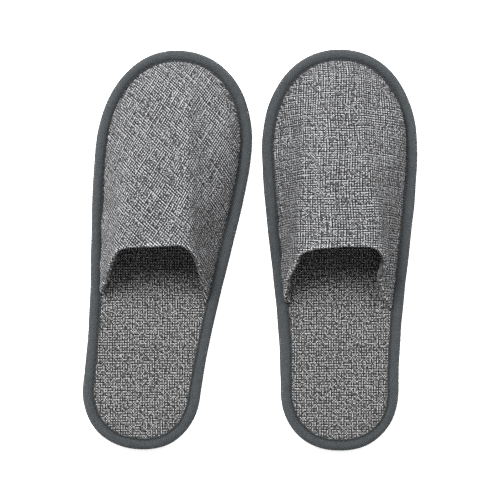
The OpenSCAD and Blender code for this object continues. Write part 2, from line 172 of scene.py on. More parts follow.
def inset_point(share, inset, side_end):
    """Like edge_point, moved in from the edge by inset."""
    x, depth = edge_point(share, side_end)
    x_after, depth_after = edge_point(np.minimum(1, share + 0.004), side_end)
    x_before, depth_before = edge_point(np.maximum(0, share - 0.004), side_end)
    run_x, run_depth = x_after - x_before, depth_after - depth_before
    run = np.hypot(run_x, run_depth)
    at_tip = share < 0.001
    normal_x = np.where(at_tip, 0, run_depth / run)
    normal_depth = np.where(at_tip, -1, -run_x / run)
    return x - inset * normal_x, depth - inset * normal_depth


def wall_share(along):
    """Share round the edge at which a row of the upper meets the seam."""
    return TOE_SHARE + (1 - TOE_SHARE) * along ** 0.9


def upper_base(across, along, side):
    """The plain outer face of the upper: rows of arches that grow from the seam round the toe
    (along 0) to the opening (along 1); across runs from -1 at the left wall to 1 at the right."""
    sign = np.where(across < 0, -1.0, 1.0)
    side_end, lean, square, bulge = (
        np.where(across < 0, left, right) for left, right in zip(*side["walls"]))
    reach = np.abs(across)
    foot_x, foot_depth = inset_point(wall_share(along), SEAM_INSET, side_end)
    corner_x, corner_depth = inset_point(np.full_like(across, TOE_SHARE), SEAM_INSET, side_end)
    toe_x, toe_depth = inset_point(TOE_SHARE * reach, SEAM_INSET, side_end)
    crown_depth = SEAM_INSET + (THROAT_DEPTH - SEAM_INSET) * along ** 1.6
    rise = UPPER_RISE * along ** 0.88
    # the arch is a superellipse that gets squarer towards the opening
    power = 2 + (square - 2) * along
    sine = np.sin(np.pi / 2 * reach)
    cosine = np.clip(np.cos(np.pi / 2 * reach), 0, None)
    radius = (sine ** power + cosine ** power) ** (1 / power)
    up = cosine / radius
    arch_x = sine / radius * (1 - lean * along * up)
    # the first rows follow the toe outline instead
    arched = ease(along / 0.4)
    x = toe_x / corner_x * (1 - arched) + arch_x * arched
    toe_back = (toe_depth - SEAM_INSET) / (corner_depth - SEAM_INSET)
    back = toe_back * (1 - arched) + (1 - up) * arched
    swell = bulge * along * 1.4 * ease(up / 0.25) * (1 - up) ** 1.5
    dent = np.where(sign > 0, side["dent"], 0) * bell(up, 0.42, 0.17) * ease((along - 0.8) / 0.2)
    x = sign * (foot_x * x + swell - dent)
    depth = crown_depth + (foot_depth - crown_depth) * back + side["skew"] * x * up * along
    return np.stack([x, LENGTH / 2 - depth, BASE_Z + rise * up], -1)


def outline(count):
    """count points evenly spaced round the sole, from the toe tip down the right side, with outward
    normals, the distance run to each, and the whole length."""
    angle = np.linspace(0, np.pi / 2, 400)
    toe = np.stack([BALL_WIDTH / 2 * np.sin(angle) ** (2 / TOE_POWER),
                    TOE_DEPTH * (1 - np.cos(angle).clip(0) ** (2 / TOE_POWER))], 1)
    depth = np.linspace(TOE_DEPTH, LENGTH - HEEL_DEPTH, 500)[1:]
    middle = np.stack([half_width(depth), depth], 1)
    angle = np.linspace(np.pi / 2, 0, 400)[1:]
    heel = np.stack([HEEL_WIDTH / 2 * np.sin(angle).clip(0) ** (2 / HEEL_POWER),
                     LENGTH - HEEL_DEPTH * (1 - np.cos(angle) ** (2 / HEEL_POWER))], 1)
    half = np.concatenate([toe, middle, heel])
    full = np.concatenate([half, half[-2::-1] * [-1, 1]])
    full[:, 1] = LENGTH / 2 - full[:, 1]
    full_run = running_length(full)
    run = np.linspace(0, full_run[-1], count, endpoint=False)
    points = np.stack([np.interp(run, full_run, full[:, k]) for k in range(2)], 1)
    tangent = unit(np.roll(points, -2, 0) - np.roll(points, 2, 0))
    normals = np.stack([-tangent[:, 1], tangent[:, 0]], 1)
    if (normals * points).sum() < 0:
        normals = -normals
    return points, normals, run, full_run[-1]


def wave(x, seed, lowest, highest):
    """Smooth noise of about unit size that repeats when x grows by 1; the last two arguments are
    the fewest and most cycles in that stretch."""
    rng = np.random.default_rng(seed)
    total = np.zeros_like(np.asarray(x, float))
    for k in range(lowest, highest + 1):
        total += rng.normal() * np.sin(math.tau * (k * x + rng.random()))
    return total / math.sqrt(highest - lowest + 1)


def bumps(x, y, seed, size):
    """Smooth noise over a plane, features about size across, about unit height."""
    rng = np.random.default_rng(seed)
    waves = 14
    total = np.zeros_like(np.asarray(x, float))
    for _ in range(waves):
        angle = rng.random() * math.tau
        rate = (0.6 + 0.8 * rng.random()) / size
        total += np.sin(math.tau * (rate * (x * math.cos(angle) + y * math.sin(angle)) + rng.random()))
    return total / math.sqrt(waves / 2)


# ---------------------------------------------------------------- mesh helpers
def set_uv(mesh, coords):
    """Adds the UV map "mm" from one coordinate pair per vertex."""
    layer = mesh.uv_layers.new(name="mm")
    index = np.zeros(len(mesh.loops), np.int64)
    mesh.loops.foreach_get("vertex_index", index)
    layer.data.foreach_set("uv", np.asarray(coords, np.float32)[index].ravel())


def make(name, verts, faces, uvs=None, material=None):
    mesh = bpy.data.meshes.new(name)
    verts = np.asarray(verts, float).reshape(-1, 3)
    mesh.from_pydata([tuple(v) for v in verts], [], [tuple(int(i) for i in f) for f in faces])
    if uvs is not None:
        set_uv(mesh, np.reshape(uvs, (-1, 2)))
    mesh.validate()
    mesh.polygons.foreach_set("use_smooth", [True] * len(mesh.polygons))
    if material:
        mesh.materials.append(material)
    mesh.update()
    ob = bpy.data.objects.new(name, mesh)
    bpy.context.scene.collection.objects.link(ob)
    return ob


def grid_faces(rows, cols, start=0, flip=False, wrap=False):
    """Quads of a grid stored row by row; wrap joins the last column to the first."""
    i, j = np.meshgrid(np.arange(rows - 1), np.arange(cols if wrap else cols - 1), indexing="ij")
    here = i * cols + j
    beside = i * cols + (j + 1) % cols
    faces = np.stack([here, beside, beside + cols, here + cols], -1).reshape(-1, 4) + start
    return faces[:, ::-1] if flip else faces


def tube_faces(rings, sides, start=0):
    """Faces of a capped tube stored ring by ring."""
    end = start + rings * sides
    return [*grid_faces(rings, sides, start, wrap=True),
            range(start, start + sides)[::-1], range(end - sides, end)]


def strip(row, next_row):
    """Quads between two rows of vertex numbers."""
    return np.stack([row[:-1], row[1:], next_row[1:], next_row[:-1]], -1)


def fix_normals(ob, weld=0.0):
    """Turns all faces outwards, first welding vertices closer than weld. UVs stay on the corners."""
    bm = bmesh.new()
    bm.from_mesh(ob.data)
    if weld:
        bmesh.ops.remove_doubles(bm, verts=bm.verts, dist=weld)
    bmesh.ops.recalc_face_normals(bm, faces=bm.faces)
    bm.to_mesh(ob.data)
    bm.free()
    ob.data.update()


def register(ob, slot, *cad_names):
    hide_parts(*cad_names)
    return ob


# ---------------------------------------------------------------- materials
def connect(tree, target, source):
    if isinstance(source, Value):
        tree.links.new(source.socket, target)
    else:
        target.default_value = source


def math_node(tree, operation, first, second=None, clamp=False):
    node = tree.nodes.new("ShaderNodeMath")
    node.operation = operation
    node.use_clamp = clamp
    connect(tree, node.inputs[0], first)
    if second is not None:
        connect(tree, node.inputs[1], second)
    return Value(tree, node.outputs[0])


class Value:
    """A shader output to calculate with; each operation adds a math node."""

    def __init__(self, tree, socket):
        self.tree = tree
        self.socket = socket

    def math(self, operation, other=None, clamp=False):
        return math_node(self.tree, operation, self, other, clamp)

    def __add__(self, other):
        return self.math("ADD", other)

    def __sub__(self, other):
        return self.math("SUBTRACT", other)

    def __rsub__(self, other):
        return math_node(self.tree, "SUBTRACT", other, self)

    def __mul__(self, other):
        return self.math("MULTIPLY", other)

    def floor(self):
        return self.math("FLOOR")

    def fract(self):
        return self.math("FRACT")

    def abs(self):
        return self.math("ABSOLUTE")

    def cos(self):
        return self.math("COSINE")

    def ripple(self, period):
        return (self * (math.tau / period)).cos()


class Shader:
    """A material with one Principled shader, and the nodes that feed it."""

    def __init__(self, name, viewport):
        self.material = bpy.data.materials.new(name)
        self.material.use_nodes = True
        self.material.diffuse_color = (*viewport, 1)
        self.tree = self.material.node_tree
        self.tree.nodes.clear()
        output = self.new("OutputMaterial")
        self.principled = self.new("BsdfPrincipled")
        self.tree.links.new(self.principled.outputs[0], output.inputs[0])

    def new(self, kind):
        return self.tree.nodes.new("ShaderNode" + kind)

    def value(self, socket):
        return Value(self.tree, socket)

    def connect(self, target, source):
        connect(self.tree, target, source)

    def mix(self, factor, low, high):
        node = self.new("Mix")
        node.data_type = "FLOAT"
        for index, source in ((0, factor), (2, low), (3, high)):
            self.connect(node.inputs[index], source)
        return self.value(node.outputs[0])

    def uv(self):
        """The two coordinates of the UV map, in mm."""
        node = self.new("UVMap")
        node.uv_map = "mm"
        split = self.new("SeparateXYZ")
        self.tree.links.new(node.outputs[0], split.inputs[0])
        return self.value(split.outputs[0]), self.value(split.outputs[1])

    def texture(self, kind, position):
        """A texture node fed by an (x, y, z) of values or numbers."""
        combine = self.new("CombineXYZ")
        for target, source in zip(combine.inputs, position):
            self.connect(target, source)
        node = self.new(kind)
        self.tree.links.new(combine.outputs[0], node.inputs["Vector"])
        return node

    def white(self, *position):
        node = self.texture("TexWhiteNoise", position)
        node.noise_dimensions = "3D"
        return self.value(node.outputs["Value"])

    def noise(self, *position, detail=0.0, rough=0.5):
        node = self.texture("TexNoise", position)
        node.noise_dimensions = "3D"
        node.inputs["Scale"].default_value = 1.0
        node.inputs["Detail"].default_value = detail
        node.inputs["Roughness"].default_value = rough
        return self.value(node.outputs[0])

    def voronoi(self, *position):
        node = self.texture("TexVoronoi", position)
        node.inputs["Scale"].default_value = 1.0
        return self.value(node.outputs[0])

    def ramp(self, factor, stops):
        node = self.new("ValToRGB")
        self.connect(node.inputs[0], factor)
        elements = node.color_ramp.elements
        while len(elements) < len(stops):
            elements.new(0.5)
        for element, (position, color) in zip(elements, stops):
            element.position = position
            element.color = (*color, 1)
        return self.value(node.outputs[0])

    def tint(self, color, brightness):
        node = self.new("VectorMath")
        node.operation = "SCALE"
        self.connect(node.inputs[0], color)
        self.connect(node.inputs["Scale"], brightness)
        return self.value(node.outputs[0])

    def mottled(self, base, factor, dark, light, brightness):
        """The base colour, from dark to light times itself as factor goes from 0 to 1."""
        ends = [(at, tuple(b * gain for b in base)) for at, gain in ((0.0, dark), (1.0, light))]
        return self.tint(self.ramp(factor, ends), brightness)

    def finish(self, color, rough, height=None, relief=0.0002, strength=1.0, sheen=0.0, specular=0.3):
        """Fills in the Principled shader; relief is the bump distance in metres."""
        inputs = self.principled.inputs
        self.connect(inputs["Base Color"], color)
        self.connect(inputs["Roughness"], rough)
        inputs["Specular IOR Level"].default_value = specular
        if sheen:
            inputs["Sheen Weight"].default_value = sheen
            inputs["Sheen Roughness"].default_value = 0.6
        if height is not None:
            bump = self.new("Bump")
            bump.inputs["Distance"].default_value = relief
            bump.inputs["Strength"].default_value = strength
            self.connect(bump.inputs["Height"], height)
            self.tree.links.new(bump.outputs[0], inputs["Normal"])
        return self.material


def linen(name, *, weft_angle, warp_angle, weft_period, warp_period, seed, gain, line, pair, streak,
          cell, even, dash, check, drift, run, relief, contrast, tint):
    """Heathered plain weave. Light and dark yarns alternate in both sets, so crossing lines come and
    go with the dye of each yarn.

    angles: directions the yarns run in, degrees; periods: width of a light and dark pair, mm
    line, pair, streak, cell, dash, check: strength of the light-dark lines, of whole pairs, of
        streaks along a yarn, of single crossings, of short lengths and of the over-and-under
    even: how far a crossing is set against its neighbours; drift: waviness, mm
    run: how fast the lines come and go along a yarn, per mm
    gain, relief, contrast, tint: brightness, painted shade from the yarns' relief, contrast of tone, colour
    """
    shader = Shader(name, (0.25, 0.25, 0.25))
    x, y = shader.uv()
    # a slow drift keeps the yarns from running perfectly straight
    drift_x = shader.noise(x * 0.035, y * 0.035, seed + 3.1)
    drift_y = shader.noise(x * 0.035, y * 0.035, seed + 9.7)
    x = x + (drift_x - 0.5) * drift
    y = y + (drift_y - 0.5) * drift
    weft, warp = math.radians(weft_angle), math.radians(warp_angle)
    across_weft = x * -math.sin(weft) + y * math.cos(weft)
    across_warp = x * math.sin(warp) + y * -math.cos(warp)
    # position counted in yarns, then the number of the yarn and of its pair
    warp_at, weft_at = across_warp * (2 / warp_period), across_weft * (2 / weft_period)
    warp_yarn, weft_yarn = warp_at.floor(), weft_at.floor()
    warp_pair, weft_pair = (warp_at * 0.5).floor(), (weft_at * 0.5).floor()
    warp_off, weft_off = warp_at.fract() - 0.5, weft_at.fract() - 0.5
    warp_over = ((warp_yarn + weft_yarn) * 0.5).fract() * 2.0
    # the light-dark alternation, stronger and weaker along each pair of yarns
    warp_line = ((warp_at - 0.5) * math.pi).cos()
    weft_line = ((weft_at - 0.5) * math.pi).cos()

    def fading(*position):
        return ((shader.noise(*position) - 0.5) * 2.8 + 0.5).math("MAXIMUM", 0.0)

    warp_fade = fading(warp_pair * 7.31, across_weft * run, seed + 1.3)
    weft_fade = fading(across_warp * run, weft_pair * 7.31, seed + 2.3)
    warp_dye = shader.white(warp_pair, 0.5, seed) - 0.5
    weft_dye = shader.white(0.5, weft_pair, seed + 1.0) - 0.5
    warp_streak = shader.noise(warp_yarn * 5.17, across_weft * 0.45, seed + 11.0) - 0.5
    weft_streak = shader.noise(across_warp * 0.45, weft_yarn * 5.17, seed + 15.0) - 0.5
    # each crossing differs from its neighbours
    spot = shader.white(warp_yarn, weft_yarn, seed + 2.0)
    near = (shader.white(warp_yarn + 1.0, weft_yarn, seed + 2.0)
            + shader.white(warp_yarn, weft_yarn + 1.0, seed + 2.0))
    spot = spot - (near * even + (0.5 - even))
    tone = ((warp_line * warp_fade + weft_line * weft_fade) * line
            + (warp_dye + weft_dye) * (pair * 0.5))
    tone = tone + (shader.mix(warp_over, weft_streak, warp_streak) * streak + spot * cell)
    # short lengths of light and dark yarn
    warp_dash = shader.white(warp_pair, (weft_at * 0.41).floor(), seed + 4.0) - 0.5
    weft_dash = shader.white((warp_at * 0.41).floor(), weft_pair, seed + 5.0) - 0.5
    tone = tone + (warp_line * warp_dash + weft_line * weft_dash) * dash
    # the over-and-under itself, stronger in some parts of the cloth than in others
    patchy = (shader.noise(x * 0.22, y * 0.22, seed + 6.0, detail=1.0) - 0.5) * 2.0 + 1.0
    tone = tone + warp_line * weft_line * patchy * check
    tone = tone * contrast + 0.49
    # relief: each yarn is round across and dives under its neighbours along; the same height darkens the
    # colour below as painted shade in the dips between yarns
    warp_round, weft_round = (warp_off * math.pi).cos(), (weft_off * math.pi).cos()
    warp_height = warp_round * (weft_round * 0.45 + 0.55)
    weft_height = weft_round * (warp_round * 0.45 + 0.55)
    height = shader.mix(warp_over, weft_height, warp_height)
    fibre = shader.noise(x * 9.0, y * 9.0, seed, detail=2.0, rough=0.6)
    greys = ((0.0, 0.012), (0.25, 0.035), (0.42, 0.085), (0.58, 0.18), (0.75, 0.36), (1.0, 0.66))
    color = shader.ramp(tone, [(at, tuple(grey * c for c in tint)) for at, grey in greys])
    # painted shade: darker where the yarns dip; fibre adds random tone
    shade = (height * relief + (0.74 - 0.5 * relief)) * (fibre * 0.3 + 0.85)
    # painted highlight: lighter where the cloth is folded over at the opening edge
    fold = shader.new("Attribute")
    fold.attribute_name = "fold"
    shade = shade * (shader.value(fold.outputs["Fac"]) * 0.55 + 1.0)
    color = shader.tint(color, shade * gain)
    return shader.finish(color, fibre * 0.2 + 0.76, height + fibre * 0.25,
                         relief=0.00022, strength=0.9, sheen=0.06, specular=0.15)


def twill(name, base, pitch):
    """Ribbed tape, ribs pitch mm apart on the slant; x runs along the tape, y across it."""
    shader = Shader(name, base)
    x, y = shader.uv()
    drift = shader.noise(x * 0.10, y * 0.10, 7.0) - 0.5
    rib_at = (x - y) * (1 / pitch) + drift * 1.2
    rib = rib_at.ripple(1.0)
    warp = (x + y).ripple(0.5)
    height = rib * 0.5 + warp * 0.22
    yarn = shader.white(rib_at.floor(), ((x + y) * 0.8).floor(), 0.0) - 0.5
    fibre = shader.noise(x * 2.2, y * 2.2, 0.0, detail=2.0, rough=0.6)
    slow = shader.noise(x * 0.10, y * 0.35, 4.0, detail=2.0)
    # painted shade: the ribs' height lightens their tops and darkens the dips; yarn, fibre and slow add
    # random tone
    shade = (height * 0.62 + yarn * 0.30) + (fibre * 0.5 + (slow * 0.5 + 0.5))
    # painted shade of the stitch groove: darker in a band 1.15 mm to each side of the stitches, deepest
    # mid-stitch
    away = (y - 1.95).abs() * (1 / 1.15)
    stitch_groove_shade = math_node(shader.tree, "SUBTRACT", 1.0, away, clamp=True)
    stitch_shade_depth = 0.62 - x.ripple(STITCH_PITCH) * 0.34
    shade = shade * (1.0 - stitch_groove_shade * stitch_shade_depth)
    # painted light: darker at the folded inner edge as painted shade, lighter outwards as a painted highlight
    # on the tape's rounded top
    shade = shade * ((y - 2.5).math("MULTIPLY", 1 / 6.5, clamp=True) * 0.34 + 0.80)
    color = shader.mottled(base, fibre, dark=0.85, light=1.18, brightness=shade)
    return shader.finish(color, fibre * 0.15 + 0.62, height + fibre * 0.3,
                         relief=0.00022, strength=0.9, sheen=0.06, specular=0.3)


def knit(name, base, wale, course):
    """Fine knit: columns wale mm wide, rows course mm high that zigzag across them."""
    shader = Shader(name, base)
    x, y = shader.uv()
    column = x.ripple(wale)
    row = (y + ((x * (1 / wale)).fract() - 0.5).abs() * 0.5).ripple(course)
    height = column * 0.5 + row * 0.4
    fibre = shader.noise(x * 2.0, y * 2.0, 0.0, detail=3.0, rough=0.6)
    # painted shade: the colour follows the knit's height, darker in the dips between rows and columns; fibre
    # adds random tone
    shade = height * 0.12 + (fibre * 0.5 + 0.75)
    color = shader.mottled(base, fibre, dark=0.85, light=1.2, brightness=shade)
    return shader.finish(color, fibre * 0.2 + 0.7, height,
                         relief=0.00008, strength=0.7, sheen=0.15, specular=0.25)


def foam(name, base, *, cell, relief, seed, rough):
    """Foam with cells about cell mm across; relief in metres."""
    shader = Shader(name, base)
    x, y = shader.uv()
    cells = shader.voronoi(x * (1 / cell), y * (1 / cell), seed)
    cloud = shader.noise(x * 0.9, y * 0.9, seed + 2.0, detail=3.0, rough=0.6)
    # painted shade: the colour follows the cells' height, darker down in the cells' pits; cloud adds random
    # tone
    shade = cells * 0.3 + (cloud * 0.35 + 0.68)
    color = shader.mottled(base, cloud, dark=0.9, light=1.1, brightness=shade)
    return shader.finish(color, cloud * 0.15 + (rough - 0.07), cells, relief=relief, strength=0.8)


def thread(name, base, lay, twist):
    """Twisted thread; one turn of the plies takes lay mm, and twist multiplies the turns."""
    shader = Shader(name, base)
    x, y = shader.uv()
    ply = ((x * (math.tau / lay) + y * math.tau) * twist).cos()
    fibre = shader.noise(x * 6.0, y * 6.0, 0.0, detail=2.0, rough=0.6)
    # painted shade: the colour follows the plies' twist, lighter on their crowns and darker between them;
    # fibre adds random tone
    shade = ply * 0.22 + (fibre * 0.4 + 0.8)
    color = shader.mottled(base, fibre, dark=0.8, light=1.3, brightness=shade)
    return shader.finish(color, fibre * 0.2 + 0.55, ply, relief=0.00008, strength=0.8, specular=0.4)


NOMINAL_PITCH = 4.2
SOLE_PERIMETER = outline(8)[3]
STITCH_COUNT = int(SOLE_PERIMETER // NOMINAL_PITCH)
STITCH_PITCH = SOLE_PERIMETER / STITCH_COUNT

UPPER_LINEN = dict(pair=0.14, even=0.38, dash=0.14, run=0.09, relief=0.80, tint=(0.99, 1.0, 1.03))
MATERIALS = {
    "insole": linen(
        "insole_linen", weft_angle=0.0, warp_angle=90.0, weft_period=1.86, warp_period=1.76,
        seed=2.0, gain=0.515, line=0.22, pair=0.08, streak=0.16, cell=0.52, even=0.38, dash=0.20,
        check=0.17, drift=1.2, run=0.30, relief=0.9, contrast=1.62, tint=(1.0, 1.0, 1.0)),
    "upper_left": linen(
        "upper_linen_bias", weft_angle=-45.0, warp_angle=61.0, weft_period=1.75, warp_period=1.55,
        seed=20.0, gain=0.565, line=0.36, streak=0.4, cell=0.50, check=0.15, drift=1.6,
        contrast=1.50, **UPPER_LINEN),
    "upper_right": linen(
        "upper_linen_straight", weft_angle=0.0, warp_angle=90.0, weft_period=1.72, warp_period=1.75,
        seed=41.0, gain=0.55, line=0.29, streak=0.36, cell=0.54, check=0.16, drift=3.0,
        contrast=1.48, **UPPER_LINEN),
    "tape": twill("tape_twill", base=(0.0255, 0.0305, 0.034), pitch=1.9),
    "lining": knit("lining_knit", base=(0.028, 0.034, 0.032), wale=0.55, course=0.5),
    "outsole": foam("outsole_eva", (0.04, 0.043, 0.047), cell=0.6, relief=0.00006, seed=1.0, rough=0.7),
    "filler": foam("filler_sponge", (0.62, 0.60, 0.53), cell=0.8, relief=0.0003, seed=5.0, rough=0.9),
    "padding": foam("padding_sponge", (0.66, 0.64, 0.58), cell=0.7, relief=0.0003, seed=8.0, rough=0.9),
    "thread": thread("seam_thread", base=(0.009, 0.0105, 0.012), lay=0.7, twist=1.0),
}

# ---------------------------------------------------------------- tape and stitches
# Section of the tape, from its folded inner edge over the top, down the side and back underneath.
# (inset, height over the tape's top)
TAPE_TOP = [
    (8.20, -0.80), (8.42, -0.62), (8.50, -0.38), (8.40, -0.12), (8.12, 0.04), (7.80, -0.16),
    (7.45, -0.52), (7.18, -0.62), (6.90, -0.40), (6.50, -0.04), (6.0, 0.22), (5.3, 0.38),
    (4.6, 0.46), (3.9, 0.44), (3.2, 0.30), (2.5, 0.02), (1.85, -0.42), (1.25, -0.98),
    (0.75, -1.65), (0.38, -2.40)]
# (inset, share of the way up from the underside to the last point above)
TAPE_SIDE = [(0.08, 0.62), (0.0, 0.45), (0.10, 0.30), (0.40, 0.16)]
# (inset, height over the underside as a share of the tape's thickness)
TAPE_UNDER = [
    (0.95, 0.05), (1.8, 0.0), (3.2, -0.02), (5.0, 0.0), (6.6, 0.02), (7.2, 0.16), (7.6, 0.03),
    (7.95, 0.12), (8.0, 0.45), (7.9, 0.74)]
# inner face: (inset, z) below, then (inset, height over the tape's top)
TAPE_INNER_LOW = [(7.7, 1.55), (4.5, 1.55), (1.2, 1.55), (0.86, 1.9)]
TAPE_INNER_HIGH = [(0.86, -1.75), (1.25, -0.98), (1.9, -0.82), (4.5, -0.80), (6.8, -0.80), (7.9, -0.82)]


def tape_top_z(depth):
    """Height of the tape's top face: over the upper in front, lower behind it."""
    return TAPE_TOP_Z - TAPE_DROP * ease((depth - FLEX_DEPTH + 6.5) / 13.2)


def tape_waver(share, seed):
    """Unevenness of the tape's width, mm."""
    return 0.28 * wave(share, seed + 2, 2, 14) + 0.10 * wave(share, seed + 3, 30, 70)


def tape_section(share, top_z, seed):
    """Rows of the tape's section as (inset, z), each a number or one value per column."""
    stitch_at = (share * STITCH_COUNT) % 1.0         # 0 and 1 at needle holes
    hole = bell(np.minimum(stitch_at, 1 - stitch_at) * NOMINAL_PITCH, 0, 0.75)
    puff = wave(share, seed, 3, 26)
    fine_puff = wave(share, seed + 1, 20, 60)
    waver = tape_waver(share, seed)
    scallop = 0.16 * np.cos(math.tau * stitch_at)
    rows = []
    for inset, rise in TAPE_TOP:
        # only the inner part moves with the uneven width
        row_inset = inset + waver * ease((inset - 3.0) / 4.0)
        row_inset = row_inset + scallop * ease((inset - 7.6) / 0.6)
        if inset < 3:
            row_inset = row_inset - 0.10 * puff * bell(inset, 0.6, 1.0)
        z = top_z + rise - 0.22 * bell(inset, STITCH_INSET, 0.42) * hole
        z = z + bell(inset, 4.8, 2.0) * (0.16 * puff + 0.07 * fine_puff)
        z = z - 0.14 * hole * bell(inset, 6.3, 1.1)
        rows.append((row_inset, z))
    low = [(inset, UNDERSIDE_Z + (top_z - 2.4 - UNDERSIDE_Z) * up) for inset, up in TAPE_SIDE]
    for inset, up in TAPE_UNDER:
        pull = 0.12 * hole if inset == 7.2 else 0
        low.append((inset, UNDERSIDE_Z + TAPE_THICK * up + pull))
    rows += [(inset - 0.08 * puff * bell(inset, 0.2, 0.8), z) for inset, z in low]
    rows += TAPE_INNER_LOW
    rows += [(inset, top_z + rise) for inset, rise in TAPE_INNER_HIGH]
    return rows


def edge_tape(which, place, seed):
    points, normals, run, perimeter = outline(TAPE_COLUMNS)
    top_z = tape_top_z(LENGTH / 2 - points[:, 1])
    section = tape_section(run / perimeter, top_z, seed)
    insets, heights = (np.array([np.broadcast_to(row[k], TAPE_COLUMNS) for row in section])
                       for k in range(2))
    verts = np.concatenate([points - insets[..., None] * normals, heights[..., None]], -1)
    steps = np.hypot(*(np.diff(values, axis=0).mean(1) for values in (insets, heights)))
    girth = np.concatenate([[0], np.cumsum(steps)])
    # close the section and the loop round the sole with copies, so the pattern has one clean seam
    verts = np.concatenate([verts, verts[:1]], 0)
    verts = np.concatenate([verts, verts[:, :1]], 1)
    girth = np.append(girth, girth[-1] + 0.4)
    uv = np.stack(np.meshgrid(np.append(run, perimeter), girth), -1)
    ob = make(which + "_edge_tape", place(verts), grid_faces(*verts.shape[:2]), uv, MATERIALS["tape"])
    fix_normals(ob, weld=1e-6)
    return register(ob, "edge_tape", which + "_tape_forepart", which + "_tape_heel")


def edge_stitching(which, place, seed):
    """One capsule of thread a stitch, a row above and a row below."""
    rings, sides = 9, 8
    half_length, thickness = 1.62, 0.36
    points, normals, run, perimeter = outline(TAPE_COLUMNS)
    waver = tape_waver(run / perimeter, seed)
    span = np.linspace(-half_length, half_length, rings)
    end = np.abs(span) / half_length
    radius = (thickness * np.sqrt(np.clip(1 - end ** 6, 0.02, 1)))[:, None]
    turn = np.arange(sides) / sides
    cos_turn, sin_turn = np.cos(math.tau * turn), np.sin(math.tau * turn)
    verts, faces, uvs = [], [], []
    for row, on_top in enumerate((True, False)):
        for k in range(STITCH_COUNT):
            middle = (k + 0.5) / STITCH_COUNT * perimeter
            column = (middle + span) % perimeter / perimeter * TAPE_COLUMNS
            before = np.floor(column).astype(int) % TAPE_COLUMNS
            after = (before + 1) % TAPE_COLUMNS
            part = column - np.floor(column)
            edge, normal = (values[before] * (1 - part[:, None]) + values[after] * part[:, None]
                            for values in (points, normals))
            inset = STITCH_INSET + 0.10 * math.sin(k * 2.7 + row)
            if on_top:
                inset = inset + waver[before] * (1 - part) + waver[after] * part
                z = tape_top_z(LENGTH / 2 - edge[:, 1]) - 0.42 - 0.40 * end ** 4
            else:
                z = UNDERSIDE_Z - 0.02 + 0.30 * end ** 4
            centre = edge - np.reshape(inset, (-1, 1)) * normal
            tangent = unit(np.gradient(centre, axis=0))
            sideways = np.stack([-tangent[:, 1], tangent[:, 0]], 1)
            ring_xy = centre[:, None] + (radius * cos_turn)[..., None] * sideways[:, None]
            ring_z = z[:, None] + radius * 0.8 * sin_turn
            faces += tube_faces(rings, sides, start=len(verts) * rings * sides)
            verts.append(np.concatenate([ring_xy, ring_z[..., None]], -1))
            uvs.append(np.stack(np.meshgrid(middle + span, turn, indexing="ij"), -1))
    ob = make(which + "_edge_stitching", place(np.array(verts)), faces, uvs, MATERIALS["thread"])
    fix_normals(ob)
    return register(ob, "thread", which + "_stitching_forepart", which + "_stitching_heel")


# ---------------------------------------------------------------- sole layers
def insole_cover(which, place, seed):
    """Softly uneven sheet of rings that shrink from the edge to the middle line."""
    count = 420
    points, normals, run, perimeter = outline(count)
    edge = points - 1.3 * normals
    middle_y = np.clip(points[:, 1], LENGTH / 2 - 236, LENGTH / 2 - 56)
    middle = np.stack([np.zeros(count), middle_y], 1)
    scale = np.concatenate([np.linspace(1.0, 0.80, 16), np.linspace(0.78, 0.0, 30)])
    plan = middle + scale[:, None, None] * (edge - middle)
    inset = 1.3 + (1 - scale)[:, None] * length_of(edge - middle)
    x, y = plan[..., 0], plan[..., 1]
    rise = 1 - np.exp(-np.clip(inset - 8.3, 0, None) / 5.0)
    pucker = (wave(run / perimeter, seed, 50, 110) * np.exp(-np.clip(inset - 8, 0, None) / 6.0)
              * ease((inset - 8.3) / 2.0))
    swell = 0.75 + 0.16 * bumps(x, y, seed, 34) + 0.08 * bumps(x, y, seed + 1, 13)
    z = INSOLE_HIGH_Z - 0.02 + rise * swell + 0.10 * pucker
    top = np.concatenate([plan, z[..., None]], -1)
    bottom_plan = plan[[0, 8, 20, -1]]
    bottom = np.concatenate([bottom_plan, np.full((4, count, 1), INSOLE_LOW_Z)], -1)
    verts = np.concatenate([top, bottom])
    here = np.arange(count)
    beside = (here + 1) % count
    below = len(top) * count
    faces = np.concatenate([
        grid_faces(len(top), count, wrap=True),
        grid_faces(len(bottom), count, below, flip=True, wrap=True),
        np.stack([here, below + here, below + beside, beside], -1)])
    uv = np.stack(place.plan(verts[..., 0], verts[..., 1]), -1)
    ob = make(which + "_insole_cover", place(verts), faces, uv, MATERIALS["insole"])
    fix_normals(ob, weld=2e-6)
    return register(ob, "linen_weave", which + "_insole_forepart", which + "_insole_heel")


